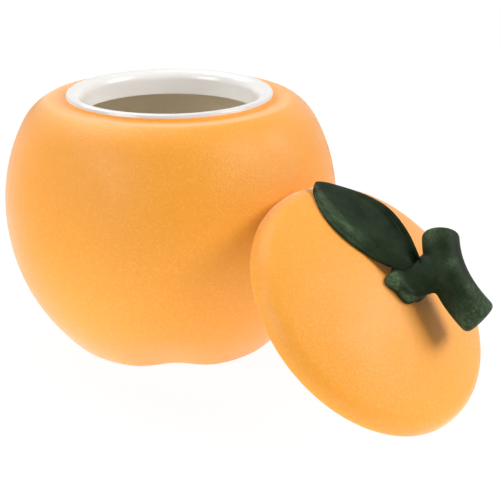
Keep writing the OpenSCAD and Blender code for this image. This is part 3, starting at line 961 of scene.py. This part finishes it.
def calyx_rings(knob, foot):
    """Rings of the lobed bun that tapers into the stalk. It is sunk a little into the dome."""
    rings = []
    for i in range(17):
        t = i / 16
        taper = math.cos(math.pi / 2 * max(0.0, (t - TAPER_START) / TAPER_SPAN)) ** 0.8
        ring = []
        for j in range(96):
            a = 2 * math.pi * j / 96
            past = math.remainder(a - knob.first_lobe, 2 * math.pi)
            r = knob.lobe - knob.valley / 2 * (1 - math.cos(knob.lobes * past))
            r += knob.long_lobe * math.exp(-((knob.lobes * past / 2) ** 2))
            r = knob.stalk / 2 + (r - knob.stalk / 2) * taper
            z = (knob.calyx + CALYX_SUNK) * t - CALYX_SUNK
            ring.append(foot + Vector((r * math.cos(a), r * math.sin(a), z)))
        rings.append(ring)
    return rings


def calyx_foot(lid, knob):
    """Middle of the calyx's foot on the dome."""
    _, dome_r, crown_z = dome(lid)
    pad = knob.lobe + Vector(knob.calyx_at).length
    return Vector(knob.calyx_at) + (crown_z - dome_r + math.sqrt(dome_r**2 - pad**2)) * UP


def clay_paleness(knob, foot, points, upper):
    """How pale the green is made: worn at the branch's ends, paler spots, a painted highlight on the long
    lobe, paler lobes.
    """
    ends = [(Vector(getattr(knob, end)), spread, reach, share) for end, spread, reach, share in WORN_ENDS]
    spots = [(Vector(at) * MM, spread, share) for at, spread, share in PALE_SPOTS]
    worn = []
    for p in points:
        paleness = 0.1
        for at, spread, reach, share in ends:
            paleness += share * smooth(reach - (p - at).length / (spread * MM))
        for at, spread, share in spots:
            paleness += share * math.exp(-(((p - at).length / (spread * MM)) ** 2))
        # Paler outer faces of the calyx's lobes
        if not upper:
            out = math.hypot(p.x - foot.x, p.y - foot.y) / knob.lobe
            paleness += 0.8 * smooth((out - 0.78) / 0.2) * smooth((p.z - foot.z - 0.8 * MM) / (1.5 * MM))
        worn.append(min(1.0, paleness))
    return worn


def clay(name, node, upper):
    """Branch, stalk and calyx melted into one skin and cut at the seam: its upper part or its lower one."""
    knob = bpy.context.scene.canister_knob
    foot = calyx_foot(bpy.context.scene.canister_lid, knob)
    shells = [branch_rings(knob), stalk_rings(knob, foot + knob.calyx / 2 * UP), calyx_rings(knob, foot)]
    obj = joined(name, [skinned(rings) for rings in shells])
    melted(obj, CLAY_VOXEL, CLAY_ROUNDS)
    part_at(obj, foot + knob.calyx * UP, SEAM_WAY, upper)
    points = [v.co.copy() for v in obj.data.vertices]
    mark(obj, "worn", clay_paleness(knob, foot, points, upper))
    mark(obj, "brush", points)
    obj.data.transform(lean_matrix())
    dress(obj, "lid_with_knob", [green_material()], "green_glaze", node)


def part_at(obj, point, normal, upper):
    """Keeps the part of a piece above or below a plane and closes the cut with a sharp-edged face."""
    bm = bmesh.new()
    bm.from_mesh(obj.data)
    parted = bmesh.ops.bisect_plane(
        bm,
        geom=[*bm.verts, *bm.edges, *bm.faces],
        plane_co=point,
        plane_no=normal,
        clear_inner=upper,
        clear_outer=not upper,
    )
    rim = [e for e in parted["geom_cut"] if isinstance(e, bmesh.types.BMEdge)]
    for e in rim:
        e.smooth = False
    bmesh.ops.holes_fill(bm, edges=rim, sides=0)
    bmesh.ops.recalc_face_normals(bm, faces=bm.faces)
    bm.to_mesh(obj.data)
    bm.free()


class CANISTER_OT_calyx(bpy.types.Operator):
    """Forms the lobed calyx that tapers into the stalk"""

    bl_idname = "canister.calyx"
    bl_label = "Calyx"

    def execute(self, context):
        clay("calyx_bun", "calyx", upper=False)
        return {"FINISHED"}


class CANISTER_OT_twig(bpy.types.Operator):
    """Rolls the cross branch and its stalk and melts them together"""

    bl_idname = "canister.twig"
    bl_label = "Twig"

    def execute(self, context):
        clay("twig_branch", "twig", upper=True)
        return {"FINISHED"}


class CANISTER_OT_leaf(bpy.types.Operator):
    """Shapes the leaf that lies over the dome, with a curled far rim and a paler near edge of thin glaze and
    painted highlight
    """

    bl_idname = "canister.leaf"
    bl_label = "Leaf"

    def execute(self, context):
        lid = context.scene.canister_lid
        knob = context.scene.canister_knob
        bow = Vector(knob.leaf_root), Vector(knob.leaf_bend), Vector(knob.leaf_tip)
        reach = (bow[2] - bow[0]).length
        level = Vector((0.0, math.cos(knob.leaf_roll), math.sin(knob.leaf_roll)))
        halves = (knob.half_root, knob.half_low, knob.half_high, knob.half_tip)
        rings = []
        worn = []
        brush = []
        for i in range(LEAF_RINGS + 1):
            s = 1 - (1 - i / LEAF_RINGS) ** 1.8
            along = heading(*bow, s)
            side = (level - level.dot(along) * along).normalized()
            up = side.cross(along)
            past = min(1.0, max(0.0, (s - 1 + LEAF_TIP_SHARE) / LEAF_TIP_SHARE))
            rounding = max(0.1, math.sqrt(1 - past**2))
            shares = ((1 - s) ** 3, 3 * s * (1 - s) ** 2, 3 * s * s * (1 - s), s**3)
            half = sum(w * h for w, h in zip(shares, halves)) * rounding
            thick = knob.leaf / 2 * (0.35 + 0.65 * rounding) * (0.3 + 0.7 * smooth(s / 0.22))
            ring = []
            for j in range(LEAF_POINTS):
                across = math.cos(2 * math.pi * j / LEAF_POINTS)
                rise = math.sin(2 * math.pi * j / LEAF_POINTS)
                cup = knob.cup * (across * half / max(halves)) ** 2
                skin = cup + thick * math.copysign(abs(rise) ** 0.7, rise)
                point = bend(*bow, s) + across * half * side + skin * up
                point += self.lift(knob, s, across) * CURL_WAY
                point.z = max(point.z, lid_height(lid, math.hypot(point.x, point.y)) + 0.05 * MM)
                ring.append(point)
                worn.append(self.paleness(s, across, rise))
                brush.append(Vector((0.3 * s * reach, across * half, 0.0)))
            rings.append(ring)
        obj = piece("leaf_blade", *skinned(rings))
        spare = len(obj.data.vertices) - len(worn)
        mark(obj, "worn", worn + [0.0] * spare)
        mark(obj, "brush", brush + [Vector()] * spare)
        obj.data.transform(lean_matrix())
        dress(obj, "lid_with_knob", [green_material()], "green_glaze", "leaf")
        return {"FINISHED"}

    def lift(self, knob, s, across):
        """How far a point moves off the dome: curled far rim, pressed near edge and climbing root."""
        rim = smooth((across - 0.6) / 0.4) * smooth((0.85 - s) / 0.4)
        edge = smooth((-across - 0.3) / 0.7) * smooth((1.0 - s) / 0.1)
        climb = smooth((0.42 - s) / 0.42)
        return knob.curl * rim - knob.press * edge + knob.climb * climb

    def paleness(self, s, across, rise):
        """Paleness: a streak inside the near edge, partly thin glaze and partly painted highlight, a painted
        highlight on the edge itself, and a trace over the top.
        """
        top = smooth((rise + 0.1) / 0.4)
        streak = math.exp(-(((across - STREAK_AT) / STREAK_HALF) ** 2))
        # Painted highlight along the near edge itself
        streak += 0.6 * smooth((-across - 0.86) / 0.1)
        streak *= smooth((s - 0.3) / 0.25) * smooth((1.0 - s) / 0.06)
        return top * min(1.0, 0.05 + 0.8 * streak)


def photo_camera(stage):
    """The camera at the photograph's viewing angle."""
    data = bpy.data.cameras.new("camera")
    data.sensor_width = 36.0
    data.lens = stage.lens
    data.clip_start = 0.01
    camera = bpy.data.objects.new("camera", data)
    camera.location = stage.camera_at
    camera.rotation_euler = (math.pi / 2 - stage.camera_tilt, 0.0, -stage.camera_pan)
    bpy.context.scene.collection.objects.link(camera)
    bpy.context.scene.camera = camera


def softbox(stage, side, tint):
    """A square soft box that faces the object from one side."""
    light = bpy.data.lights.new(side + "_softbox", "AREA")
    light.size = getattr(stage, side + "_width")
    light.energy = getattr(stage, side + "_power")
    light.color = tint
    obj = bpy.data.objects.new(light.name, light)
    facing = Vector(getattr(stage, side + "_way")).normalized()
    obj.location = LIT_POINT + facing * stage.lamp_reach
    obj.rotation_euler = facing.to_track_quat("Z", "Y").to_euler()
    bpy.context.scene.collection.objects.link(obj)


def pale_room(stage):
    """A dim world that looks white to the camera and in reflections."""
    world = bpy.data.worlds.new("pale_room")
    bpy.context.scene.world = world
    world.use_nodes = True
    n = Nodes(world.node_tree)
    back = world.node_tree.nodes["Background"]
    back.inputs["Color"].default_value = (1.0, 1.0, 1.0, 1.0)
    n.put(back.inputs["Strength"], n.ramp(n.seen(), 0.0, 1.0, stage.room, 1.0))


def backdrop_material():
    """White sheet on a darker table. The camera sees it as white, with a trace of the object's shadow."""
    glaze = bpy.context.scene.canister_glaze
    stage = bpy.context.scene.canister_stage
    mat, n, shader, coords = new_material("floor")
    away = n.new("ShaderNodeVectorMath", operation="LENGTH")
    n.put(away.inputs[0], coords)
    sheet = n.ramp(away.outputs["Value"], stage.sheet / 2, 1.5 * stage.sheet, 1.0, 0.0)
    seen = n.seen()
    shown = n.math("MAXIMUM", sheet, seen)
    n.feed(shader, Base_Color=n.mix(shown, rgba(glaze.table), rgba(glaze.floor)), Roughness=0.9)
    lit = n.ramp(seen, 0.0, 1.0, n.times(sheet, stage.sheet_glow), FLOOR_LIFT)
    n.feed(shader, Emission_Color=(1.0, 1.0, 1.0, 1.0), Emission_Strength=lit)
    glow = n.new("ShaderNodeEmission")
    glow.inputs["Strength"].default_value = 1.0
    blend = n.new("ShaderNodeMixShader")
    n.put(blend.inputs[0], n.times(seen, FLOOR_WHITE))
    n.put(blend.inputs[1], shader.outputs[0])
    n.put(blend.inputs[2], glow.outputs[0])
    out = next(x for x in mat.node_tree.nodes if x.type == "OUTPUT_MATERIAL")
    n.put(out.inputs["Surface"], blend.outputs[0])
    return mat


class CANISTER_OT_stage(bpy.types.Operator):
    """Places the camera, the soft lights, the floor and the pale world"""

    bl_idname = "canister.stage"
    bl_label = "Stage"

    def execute(self, context):
        stage = context.scene.canister_stage
        photo_camera(stage)
        for side, tint in SOFTBOX_TINTS.items():
            softbox(stage, side, tint)
        pale_room(stage)
        corners = ((-1, -1), (1, -1), (1, 1), (-1, 1))
        floor = piece("floor", [(FLOOR_HALF * x, FLOOR_HALF * y, 0.0) for x, y in corners], [[0, 1, 2, 3]])
        floor.data.materials.append(backdrop_material())
        context.scene.view_settings.view_transform = "Standard"
        return {"FINISHED"}


class CANISTER_PT_panel(bpy.types.Panel):
    """Lists the canister's pieces and their sizes"""

    bl_idname = "CANISTER_PT_panel"
    bl_label = "Tea canister"
    bl_space_type = "VIEW_3D"
    bl_region_type = "UI"
    bl_category = "Canister"

    def draw(self, context):
        for settings in SETTINGS:
            group = getattr(context.scene, settings)
            box = self.layout.box()
            for name in type(group).__annotations__:
                box.prop(group, name)
        for operator in OPERATORS:
            self.layout.operator(operator.bl_idname)


SETTINGS = {
    "canister_jar": CanisterJar,
    "canister_lid": CanisterLid,
    "canister_knob": CanisterKnob,
    "canister_glaze": CanisterGlaze,
    "canister_stage": CanisterStage,
}
OPERATORS = (
    CANISTER_OT_stage,
    CANISTER_OT_jar,
    CANISTER_OT_lid,
    CANISTER_OT_seal,
    CANISTER_OT_calyx,
    CANISTER_OT_twig,
    CANISTER_OT_leaf,
)


def register():
    """Adds the settings, operators and panel."""
    for cls in (*SETTINGS.values(), *OPERATORS, CANISTER_PT_panel):
        bpy.utils.register_class(cls)
    for name, cls in SETTINGS.items():
        setattr(bpy.types.Scene, name, PointerProperty(type=cls))


def unregister():
    """Takes the settings, operators and panel away."""
    for name in SETTINGS:
        delattr(bpy.types.Scene, name)
    for cls in reversed((*SETTINGS.values(), *OPERATORS, CANISTER_PT_panel)):
        bpy.utils.unregister_class(cls)


def main():
    """Builds every piece and the stage."""
    register()
    bpy.ops.canister.stage()
    bpy.ops.canister.jar()
    bpy.ops.canister.lid()
    bpy.ops.canister.seal()
    bpy.ops.canister.calyx()
    bpy.ops.canister.twig()
    bpy.ops.canister.leaf()


if __name__ == "__main__":
    main()
